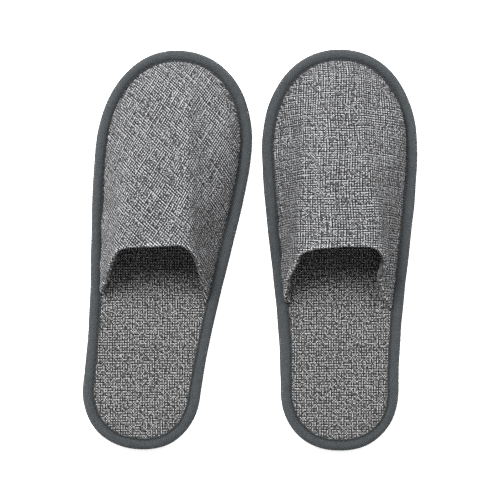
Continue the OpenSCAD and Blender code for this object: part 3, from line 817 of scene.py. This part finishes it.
def joined_sheet(which, place, part, name, slot, weld):
    """One uncut sheet from the two CAD solids of a sole layer: their facing ends are brought
    together at the flex line and welded (distances in metres), the ends' own faces are dropped, and
    the sheet is cut across in narrow strips about the flex line."""
    near_flex = 0.0004
    strip_width, first_cut = 0.0028, 0.0007
    halves = [f"{which}_{part}_{half}" for half in ("forepart", "heel")]
    bm = bmesh.new()
    for half in halves:
        bm.from_mesh(frame["nodes"][half].data)
    toe = Vector(place.toe)
    pivot = Vector(place.pivot)
    bmesh.ops.remove_doubles(bm, verts=bm.verts, dist=1e-6)
    ends = [face for face in bm.faces
            if abs((face.calc_center_median() - pivot).dot(toe)) < near_flex
            and abs(face.normal.dot(toe)) > 0.98]
    bmesh.ops.delete(bm, geom=ends, context="FACES_ONLY")
    for vert in bm.verts:
        ahead = (vert.co - pivot).dot(toe)
        if abs(ahead) < near_flex:
            vert.co -= toe * ahead
    bmesh.ops.remove_doubles(bm, verts=bm.verts, dist=weld)
    for k in range(-8, 14):
        bmesh.ops.bisect_plane(
            bm, geom=bm.verts[:] + bm.edges[:] + bm.faces[:], dist=1e-7,
            plane_co=pivot - toe * (k * strip_width + first_cut), plane_no=toe)
    bmesh.ops.triangulate(bm, faces=[face for face in bm.faces if len(face.verts) > 4])
    mesh = bpy.data.meshes.new(name)
    bm.to_mesh(mesh)
    bm.free()
    coords = np.zeros(len(mesh.vertices) * 3)
    mesh.vertices.foreach_get("co", coords)
    x, y, z = (coords.reshape(-1, 3) / MM).T
    set_uv(mesh, np.stack([x + z, y], -1))
    mesh.materials.clear()                       # also resets the faces' material numbers
    mesh.materials.append(MATERIALS[part])
    mesh.polygons.foreach_set("use_smooth", [False] * len(mesh.polygons))
    mesh.update()
    ob = bpy.data.objects.new(name, mesh)
    bpy.context.scene.collection.objects.link(ob)
    return register(ob, slot, *halves)


# ---------------------------------------------------------------- shape of the padded upper
# soft lengthwise rolls: from and to as (x, depth), height, half width
FOLDS = {
    "left": [((-27, 146), (-26, 62), 0.9, 6.0), ((2, 141), (-5, 92), -0.6, 7.0),
             ((36, 160), (40, 98), 0.8, 4.0), ((-35, 165), (-42, 112), 0.7, 4.0),
             ((-12, 128), (-20, 60), -0.5, 6.0)],
    "right": [((-4, 140), (0, 84), -0.6, 8.0), ((36, 158), (41, 96), 0.8, 4.0),
              ((-36, 160), (-43, 104), 0.7, 4.5), ((31, 163), (37, 142), -1.2, 3.0)],
}
# packing creases: from and to as (x, depth), size; its sign picks the side the hollow lies on
CREASES = {
    "left": [((21.5, 142), (4.5, 18), 2.3)],
    "right": [((23.5, 142), (11.5, 22), 1.9), ((-30, 146), (-24, 40), -1.8)],
}
# section of a crease: distance from its line, and height as a share of its size
CREASE_AT = [-16, -8, -3, 0, 3, 7, 12, 18, 28]
CREASE_HEIGHT = [0, 0.25, 0.75, 1.15, 0.35, -0.9, -1.7, -1.35, 0]
# how the sewn opening edge sits off the plain arch: share across, mm across, mm towards the heel
THROAT = {
    "left": [
        (-1.0, 0, 0), (-0.96, -1.5, 2.4), (-0.9, -0.4, 2.5), (-0.8, 1.2, 2.5), (-0.62, 0, 1.2),
        (-0.45, -2.2, -1.0), (-0.2, -1.0, -0.5), (0, 0, -0.5), (0.3, 0.5, -1.1), (0.6, 0.5, -0.5),
        (0.8, -1.0, 0.8), (0.9, -0.5, 1.0), (0.97, 1.0, 1.0), (1.0, 0, 0)],
    "right": [
        (-1.0, 0, 0), (-0.96, -2.2, 2.8), (-0.9, -1.8, 3.7), (-0.8, -1.6, 3.0), (-0.62, -2.0, 1.4),
        (-0.45, -2.8, -0.3), (-0.2, -1.0, -0.3), (0, 0, -0.4), (0.3, 1.2, 0.2), (0.5, 1.2, 1.8),
        (0.62, 1.6, 2.8), (0.68, -0.5, 2.0), (0.78, -0.5, 2.5), (0.86, -2.4, 4.1),
        (0.92, -1.2, 4.0), (0.97, 0.6, 3.0), (1.0, 0, 0)],
}


def upper_grid(rows, cols):
    """The across and along parameters of a grid over the upper."""
    along, across = np.meshgrid(
        np.linspace(0, 1, rows) ** 1.15, np.linspace(-1, 1, cols), indexing="ij")
    return across, along


def add_weights(ob, name, weights):
    group = ob.vertex_groups.new(name=name)
    for i, weight in enumerate(weights.ravel()):
        group.add([i], float(weight), "REPLACE")


def relax_cloth(which, base):
    """Hangs the padded upper as cloth: sewn down along its lasting line, weighed by its own padding,
    and cut a little large, so that it settles and buckles. Returns how far each grid point moved."""
    sim_scale = 10.0 * MM                        # the solver works better at ten times the size
    last_frame = 26
    most_move = 2.6
    verts = (base * sim_scale).reshape(-1, 3)
    ob = make("tmp_cloth", verts, grid_faces(*base.shape[:2]))
    pin = np.full(base.shape[:2], 0.30)          # the padding holds the cloth up, softly
    pin[1, :] = pin[:, 1] = pin[:, -2] = 0.5
    pin[0, :] = pin[:, 0] = pin[:, -1] = 1.0
    add_weights(ob, "pin", pin)
    patches = bumps(base[..., 0], base[..., 1], 5 if which == "left" else 9, 26)
    add_weights(ob, "grow", 0.5 + 0.5 * np.clip(patches, -1, 1))
    modifier = ob.modifiers.new("cloth", "CLOTH")
    cloth = modifier.settings
    cloth.quality = 8
    cloth.mass = 0.25
    cloth.tension_stiffness = cloth.compression_stiffness = 30
    cloth.shear_stiffness = 20
    cloth.bending_model = "ANGULAR"
    cloth.bending_stiffness = 6.0
    cloth.tension_damping = cloth.compression_damping = cloth.shear_damping = 10
    cloth.bending_damping = 2
    cloth.air_damping = 4
    cloth.vertex_group_mass = "pin"
    cloth.pin_stiffness = 5
    cloth.shrink_min = -0.004
    cloth.shrink_max = -0.028
    cloth.vertex_group_shrink = "grow"
    cloth.effector_weights.gravity = 0.05
    cloth.use_pressure = False
    modifier.collision_settings.use_collision = False
    modifier.collision_settings.use_self_collision = False
    scene = bpy.context.scene
    for timeline in (scene, modifier.point_cache):
        timeline.frame_start, timeline.frame_end = 1, last_frame
    for k in range(1, last_frame + 1):
        scene.frame_set(k)
    evaluated = ob.evaluated_get(bpy.context.evaluated_depsgraph_get())
    coords = np.zeros(len(verts) * 3)
    evaluated.to_mesh().vertices.foreach_get("co", coords)
    evaluated.to_mesh_clear()
    moved = (coords.reshape(-1, 3) - verts).reshape(base.shape) / sim_scale
    scene.frame_set(1)
    bpy.data.objects.remove(ob)
    size = length_of(moved, True)
    return moved * (most_move * np.tanh(size / most_move) / np.maximum(size, 1e-9))


def resample(grid, rows, cols):
    """Smooth resampling of a grid of vectors to rows by cols."""
    def along_first(values, count):
        size = values.shape[0]
        at = np.linspace(0, size - 1, count)
        start = np.clip(np.floor(at).astype(int), 0, size - 2)
        f = (at - start).reshape(-1, *([1] * (values.ndim - 1)))
        a, b, c, d = (values[np.clip(start + k, 0, size - 1)] for k in (-1, 0, 1, 2))
        return b + 0.5 * f * (c - a + f * (2 * a - 5 * b + 4 * c - d + f * (3 * (b - c) + d - a)))
    return np.swapaxes(along_first(np.swapaxes(along_first(grid, rows), 0, 1), cols), 0, 1)


def line_distance(x, y, start, end):
    """Signed distance from a line in plan, and the share along it."""
    start = np.array(start, float)
    line = np.array(end, float) - start
    size = np.linalg.norm(line)
    line /= size
    share = ((x - start[0]) * line[0] + (y - start[1]) * line[1]) / size
    return -((x - start[0]) * line[1] - (y - start[1]) * line[0]), share


def surface_normals(points):
    normals = np.cross(np.gradient(points, axis=1), np.gradient(points, axis=0))
    normals /= np.maximum(length_of(normals, True), 1e-9)
    return normals * np.sign(normals[..., 2].sum())


def upper_surface(which, seed, across, along):
    """Outer face of the upper with its settling, folds, creases and gathers."""
    points = upper_base(across, along, SIDES[which])
    moved = relax_cloth(which, upper_base(*upper_grid(56, 73), SIDES[which]))
    free = ease((points[..., 2] - BASE_Z - 1.0) / 9.0)[..., None]
    points = points + resample(moved, *across.shape) * free
    knots, shift_x, shift_heel = np.array(THROAT[which]).T
    near_edge = ease((along - 0.62) / 0.38)
    points[..., 0] += near_edge * np.interp(across, knots, shift_x)
    points[..., 1] -= near_edge * (np.interp(across, knots, shift_heel)
                                   - 1.3 * ease((1 - np.abs(across)) / 0.04))
    x, y = points[..., 0], points[..., 1]
    depth = LENGTH / 2 - y
    height = points[..., 2] - BASE_Z
    off_seam = ease(height / 9.0)
    relief = np.zeros_like(height)
    for start, end, size, width in FOLDS[which]:
        distance, share = line_distance(x, depth, start, end)
        fade = ease((share + 0.15) / 0.2) * ease((1.05 - share) / 0.55)
        relief += size * fade * bell(distance, 0, width) * off_seam
    for start, end, size in CREASES[which]:
        distance, share = line_distance(x, depth, start, end)
        fade = ease((share + 0.10) / 0.16) * ease((1.04 - share) / 0.22)
        section = np.interp(distance if size > 0 else -distance, CREASE_AT, CREASE_HEIGHT)
        relief += abs(size) * fade * section * off_seam
    relief += 0.35 * bumps(x, y, seed + 5, 30) * off_seam
    relief += 0.16 * bumps(x + height, y, seed + 6, 11) * off_seam
    if which == "right":
        # fine cross ripples over the instep
        relief += (0.13 * np.sin(math.tau * (depth + 0.12 * x) / 6.1) * bell(x, -3, 17)
                   * ease((depth - 78) / 30) * ease((150 - depth) / 15))
    # gathers that run up from the stitched edge, numbered along one 400 mm loop
    run = np.interp(along, along[:, 0], running_length(points[:, 0]))
    gather = wave(np.where(across < 0, run, 400 - run) / 400, seed + 7, 28, 70)
    relief += 0.30 * gather * np.exp(-height / 7.0) * ease(height / 2.5) * ease(along / 0.15)
    # the sewn opening edge pulls in a little and waves
    edge_wave = wave((across + 1) / 2, seed + 8, 3, 11)
    relief += (0.45 * edge_wave - 0.35) * ease((along - 0.93) / 0.07) * off_seam
    relief[0] = 0
    return points + surface_normals(points) * relief[..., None]


def flatten(points, uv, rounds):
    """Eases pattern coordinates until neighbours lie as far apart in the pattern as on the cloth."""
    every, later, earlier = slice(None), slice(1, None), slice(None, -1)
    links = [((every, later), (every, earlier)), ((later, every), (earlier, every)),
             ((later, later), (earlier, earlier)), ((later, earlier), (earlier, later))]
    rests = [length_of(points[a] - points[b]) for a, b in links]
    uv = uv.copy()
    for _ in range(rounds):
        push = np.zeros_like(uv)
        for (a, b), rest in zip(links, rests):
            gap = uv[a] - uv[b]
            size = np.maximum(length_of(gap), 1e-6)
            change = (0.5 * (rest - size) / size)[..., None] * gap
            push[a] += change
            push[b] -= change
        uv += push * 0.30
    return uv


def cloth_pattern(which, place, points):
    """Pattern coordinates of the upper: arc length across from the middle line, and along."""
    rows, cols = points.shape[:2]
    steps = length_of(np.diff(points[:, :, [0, 2]], axis=1))
    run = np.concatenate([np.zeros((rows, 1)), np.cumsum(steps, 1)], 1)
    run -= run[:, cols // 2:cols // 2 + 1]
    run_y = points[..., 1] * math.sqrt(1 + (UPPER_RISE / THROAT_DEPTH) ** 2)
    uv = np.stack([run, run_y], -1)
    coarse = resample(uv, 38, 46)
    eased = flatten(resample(points, 38, 46), coarse, 500)
    uv = flatten(points, uv + resample(eased - coarse, rows, cols), 120)
    # the cloth is stretched as it is pulled down over the sides, which spreads the yarns there
    uv = uv + 0.5 * (np.stack([points[..., 0], run_y], -1) - uv)
    if which == "left":
        # this cloth was cut on the bias; turn the pattern with the slipper
        cos, sin = math.cos(-place.angle), math.sin(-place.angle)
        uv = np.stack([uv[..., 0] * cos - uv[..., 1] * sin, uv[..., 0] * sin + uv[..., 1] * cos], -1)
    return uv


def smoothed(normals):
    """The inner layers bridge the small dents of the outer one."""
    for _ in range(14):
        near = np.pad(normals, ((1, 1), (1, 1), (0, 0)), mode="edge")
        normals = (near[:-2, 1:-1] + near[2:, 1:-1] + near[1:-1, :-2] + near[1:-1, 2:] + 2 * normals) / 6
        normals /= np.maximum(length_of(normals, True), 1e-9)
    return normals


class Upper:
    """The layers of one slipper's upper, all offset inwards from one surface."""

    def __init__(self, which, place, seed):
        rows, cols = ((150, 181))
        self.which, self.place = which, place
        self.across, self.along = upper_grid(rows, cols)
        self.points = upper_surface(which, seed, self.across, self.along)
        self.pattern = cloth_pattern(which, place, self.points)
        normals = surface_normals(self.points)
        self.edge_normal = normals[-1]
        self.inner_normals = smoothed(normals)
        # direction out of the opening, along the cloth
        self.edge_out = unit(self.points[-1] - self.points[-4])
        # 0 where the padding is pressed flat along the seam, 1 in the open
        self.open = ease((self.points[..., 2] - BASE_Z) / 14.0)
        # the sewn rim: from the opening down the left wall, round the toe, up the right wall
        self.rim_row = np.concatenate([np.arange(rows - 1, 0, -1), np.zeros(cols, int), np.arange(1, rows)])
        self.rim_col = np.concatenate([np.zeros(rows - 1, int), np.arange(cols), np.full(rows - 1, cols - 1)])

    def margin(self, z, inset):
        """A row of the sewn margin under the tape, one point for each point of the rim."""
        across = self.across[self.rim_row, self.rim_col]
        along = self.along[self.rim_row, self.rim_col]
        share = np.where(self.rim_row == 0, TOE_SHARE * np.abs(across), wall_share(along))
        left, right = SIDES[self.which]["walls"]
        x, depth = inset_point(share, inset, np.where(across < 0, left[0], right[0]))
        x = np.where(across < 0, -1, 1) * x
        return np.stack([x, LENGTH / 2 - depth, np.full_like(x, z)], -1)

    def layer(self, part, material, slot, *, outer, inner, lip, sewn_z=None, trim=0, folded=False):
        """A closed layer. outer and inner are the offsets of its two faces, each (at the seam, in
        the open). lip leads round the opening edge from the outer face to the inner, as (distance
        out along the cloth, offset). sewn_z holds the heights of the two faces of its sewn margin;
        without it the layer is trimmed short of the seam. trim is the rows cut at the opening."""
        rows, cols = len(self.points) - trim, self.points.shape[1]
        faces_points = [
            self.points - self.inner_normals * (seam + (free - seam) * self.open)[..., None]
            for seam, free in (outer, inner)]
        for k, grid in enumerate(faces_points):
            if sewn_z:
                rim = self.margin(sewn_z[k], SEAM_INSET + (outer, inner)[k][0])
                grid[self.rim_row, self.rim_col] = rim
                continue
            for i in (3, 2, 1, 0):
                grid[i] = grid[i + 1] + 0.06 * (grid[i] - grid[i + 1])
                grid[:, i] = grid[:, i + 1] + 0.06 * (grid[:, i] - grid[:, i + 1])
                grid[:, -1 - i] = grid[:, -2 - i] + 0.06 * (grid[:, -1 - i] - grid[:, -2 - i])
        verts = [grid[:rows].reshape(-1, 3) for grid in faces_points]
        uvs = [self.pattern[:rows].reshape(-1, 2)] * 2
        size = rows * cols
        faces = [grid_faces(rows, cols), grid_faces(rows, cols, size, flip=True)]
        count = 2 * size

        # round the opening edge
        row = (rows - 1) * cols + np.arange(cols)
        inner_row = size + row
        run, out_before, offset_before = 0.0, 0.0, outer[1]
        for out, offset in lip:
            verts.append(self.points[rows - 1] + self.edge_out * out - self.edge_normal * offset)
            run += math.hypot(out - out_before, offset - offset_before)
            out_before, offset_before = out, offset
            uvs.append(self.pattern[rows - 1] + [0.0, -run])
            next_row = count + np.arange(cols)
            count += cols
            faces.append(strip(row, next_row)[:, ::-1])
            row = next_row
        faces.append(strip(row, inner_row)[:, ::-1])

        # sewn margin, then the outer rim between the two faces
        kept = self.rim_row < rows
        rim_row, rim_col = self.rim_row[kept], self.rim_col[kept]
        high = rim_row * cols + rim_col
        low = high + size
        for k, inset in enumerate(MARGIN_INSETS if sewn_z else (), 1):
            verts += [self.margin(z, inset)[kept] for z in sewn_z]
            uvs += [self.pattern[rim_row, rim_col] + [0, -3.0 * k]] * 2
            next_high = count + np.arange(len(high))
            next_low = next_high + len(high)
            count += 2 * len(high)
            faces += [strip(high, next_high), strip(low, next_low)[:, ::-1]]
            faces += [[[high[e], next_high[e], next_low[e], low[e]]] for e in (0, -1)]
            high, low = next_high, next_low
        faces.append(strip(high, low))

        name = f"{self.which}_upper_{part}"
        ob = make(name, self.place(np.concatenate(verts)), np.concatenate(faces),
                  np.concatenate(uvs), MATERIALS[material])
        if folded:
            # painted highlight along the opening edge: 1 on the first three rows of the lip, fading over the
            # last 0.9 mm of the outer face
            steps = length_of(np.diff(self.points, axis=0))
            to_edge = np.concatenate([np.cumsum(steps[::-1], 0)[::-1], np.zeros((1, cols))])
            fold = np.zeros(count)
            fold[:size] = np.clip(1 - to_edge[:rows].ravel() / 0.9, 0, 1)
            fold[2 * size:2 * size + 3 * cols] = 1.0
            attribute = ob.data.attributes.new("fold", "FLOAT", "POINT")
            attribute.data.foreach_set("value", fold.astype(np.float32))
        fix_normals(ob)
        return register(ob, slot, name)

    def outer_cloth(self):
        """The linen, turned over at the opening."""
        turned = [(1.35 * math.sin(a), 1.45 - 1.45 * math.cos(a)) for a in np.linspace(0.25, math.pi, 9)]
        turned += [(-1.6, 2.92), (-3.0, 2.90), (-3.2, 2.62), (-3.0, 2.36), (-1.5, 2.32),
                   (-0.4, 2.0), (0.1, 1.45), (-0.1, 0.9)]
        return self.layer(
            "outer", "upper_" + self.which, "linen_weave", outer=(0.0, 0.0),
            inner=(CLOTH_THICK, CLOTH_THICK), lip=turned, sewn_z=(BASE_Z, BASE_Z - CLOTH_THICK),
            folded=True)

    def padding(self):
        return self.layer(
            "padding", "padding", "upper_foam", outer=(CLOTH_THICK + 0.30, CLOTH_THICK + 0.05),
            inner=(CLOTH_THICK + 0.36, CLOTH_THICK + PADDING_THICK - 0.05),
            lip=[(0.3, CLOTH_THICK + 0.6), (0.3, CLOTH_THICK + 1.4)], trim=3)

    def lining(self):
        at_seam = CLOTH_THICK + 0.41
        free = CLOTH_THICK + PADDING_THICK + 0.05
        return self.layer(
            "lining", "lining", "lining_cloth", outer=(at_seam, free),
            inner=(at_seam + LINING_THICK, free + LINING_THICK),
            lip=[(0.25, free + 0.1), (0.3, free + 0.35)],
            sewn_z=(BASE_Z - CLOTH_THICK - 0.02, LINING_LOW_Z))

    def throat_seam(self):
        """Hidden row of thread in the turned edge."""
        sides, radius = 8, 0.28
        cols = slice(6, -6)
        normal = self.edge_normal[cols]
        centre = self.points[-1][cols] + self.edge_out[cols] * -0.9 - normal * 1.5
        sideways = unit(np.cross(unit(np.gradient(centre, axis=0)), normal))
        turn = np.linspace(0, math.tau, sides, endpoint=False)
        tube = centre[:, None] + radius * (np.cos(turn)[:, None] * normal[:, None]
                                           + np.sin(turn)[:, None] * sideways[:, None])
        uv = np.stack(np.meshgrid(running_length(centre), turn / math.tau, indexing="ij"), -1)
        name = self.which + "_throat_seam"
        ob = make(name, self.place(tube), tube_faces(len(centre), sides), uv, MATERIALS["thread"])
        fix_normals(ob)
        return register(ob, "thread", name)


# ---------------------------------------------------------------- the two slippers
for which, seed in (("left", 101), ("right", 202)):
    place = Place(which)
    parts = [
        edge_tape(which, place, seed),
        edge_stitching(which, place, seed),
        insole_cover(which, place, seed + 10),
        joined_sheet(which, place, "filler", which + "_foam_filler", "filler_foam", weld=2.5e-4),
        joined_sheet(which, place, "outsole", which + "_outsole", "outsole_foam", weld=1.5e-4),
    ]
    upper = Upper(which, place, seed + 20)
    parts += [upper.outer_cloth(), upper.padding(), upper.lining(), upper.throat_seam()]
    for ob in parts:
        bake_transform(ob)


# ---------------------------------------------------------------- floor, light, camera (metres)
def floor_paper():
    """Pale paper that glows for the camera but sends little light back up at the slippers."""
    shader = Shader("floor_paper", (0.9, 0.9, 0.9))
    x, y = shader.uv()
    cloud = shader.noise(x * 0.02, y * 0.02, 0.0, detail=3.0)
    rays = shader.new("LightPath")
    to_camera = shader.value(rays.outputs["Is Camera Ray"])
    brightness = shader.mix(to_camera, 0.22, 1.0)
    greys = shader.ramp(cloud, [(0.0, (0.90, 0.90, 0.90)), (1.0, (0.94, 0.94, 0.94))])
    material = shader.finish(shader.tint(greys, brightness), cloud * 0.1 + 0.85, specular=0.1)
    shader.principled.inputs["Emission Color"].default_value = (1, 1, 1, 1)
    shader.connect(shader.principled.inputs["Emission Strength"], to_camera * 0.55)
    return material


FLOOR_HALF, FLOOR_Z = 4, -0.0004
corners = np.array([(-1, -1), (1, -1), (1, 1), (-1, 1)]) * FLOOR_HALF
floor = make("floor", [(x, y, FLOOR_Z) for x, y in corners], [(0, 1, 2, 3)], corners * 1000,
             floor_paper())


def area_light(name, location, aim, size, power):
    light = bpy.data.lights.new(name, "AREA")
    light.shape = "RECTANGLE"
    light.size, light.size_y = size
    light.energy = power
    light.spread = math.radians(180)
    ob = bpy.data.objects.new(name, light)
    ob.location = location
    ob.rotation_euler = (Vector(aim) - Vector(location)).to_track_quat("-Z", "Y").to_euler()
    ob.visible_camera = False
    bpy.context.scene.collection.objects.link(ob)


# name, location, point aimed at, size, power in watts
for light_row in (
        ("soft_left", (-1.25, 0.10, 0.115), (-0.06, 0, 0.02), (0.5, 0.14), 9),
        ("soft_right", (1.25, 0.20, 0.16), (0.06, 0, 0.02), (0.5, 0.2), 5),
        ("soft_top_left", (-0.48, 0.84, 1.36), (0, 0, 0), (0.7, 0.7), 54),
        ("soft_top_right", (0.60, 0.78, 1.33), (0, 0, 0), (0.7, 0.7), 22),
        ("soft_heel", (0.0, -1.10, 0.58), (0, 0, 0.01), (0.9, 0.3), 7)):
    area_light(*light_row)

# the world is bright to the camera and dim as a light
WORLD_LIGHT, WORLD_SEEN = 0.11, 0.9
scene = bpy.context.scene
world = bpy.data.worlds.new("studio")
scene.world = world
world.use_nodes = True
world_tree = world.node_tree
background = world_tree.nodes["Background"]
background.inputs[0].default_value = (1, 1, 1, 1)
rays = world_tree.nodes.new("ShaderNodeLightPath")
strength = world_tree.nodes.new("ShaderNodeMix")
strength.data_type = "FLOAT"
world_tree.links.new(rays.outputs["Is Camera Ray"], strength.inputs[0])
strength.inputs[2].default_value = WORLD_LIGHT
strength.inputs[3].default_value = WORLD_SEEN
world_tree.links.new(strength.outputs[0], background.inputs[1])

CAMERA_Z = 1.20
VIEW_WIDTH, VIEW_Z = 0.355, 0.004            # width of the view, and the height it is measured at
camera = bpy.data.cameras.new("camera")
camera.sensor_width = 36
camera.lens = 36 * (CAMERA_Z - VIEW_Z) / VIEW_WIDTH
camera_ob = bpy.data.objects.new("camera", camera)
camera_ob.location = (0, 0, CAMERA_Z)
camera_ob.rotation_euler = (0, 0, 0)
scene.collection.objects.link(camera_ob)
scene.camera = camera_ob
scene.view_settings.view_transform = "Standard"
scene.view_settings.look = "None"
scene.view_settings.exposure = 0.0
scene.cycles.use_denoising = False           # the denoiser smears the finest yarns
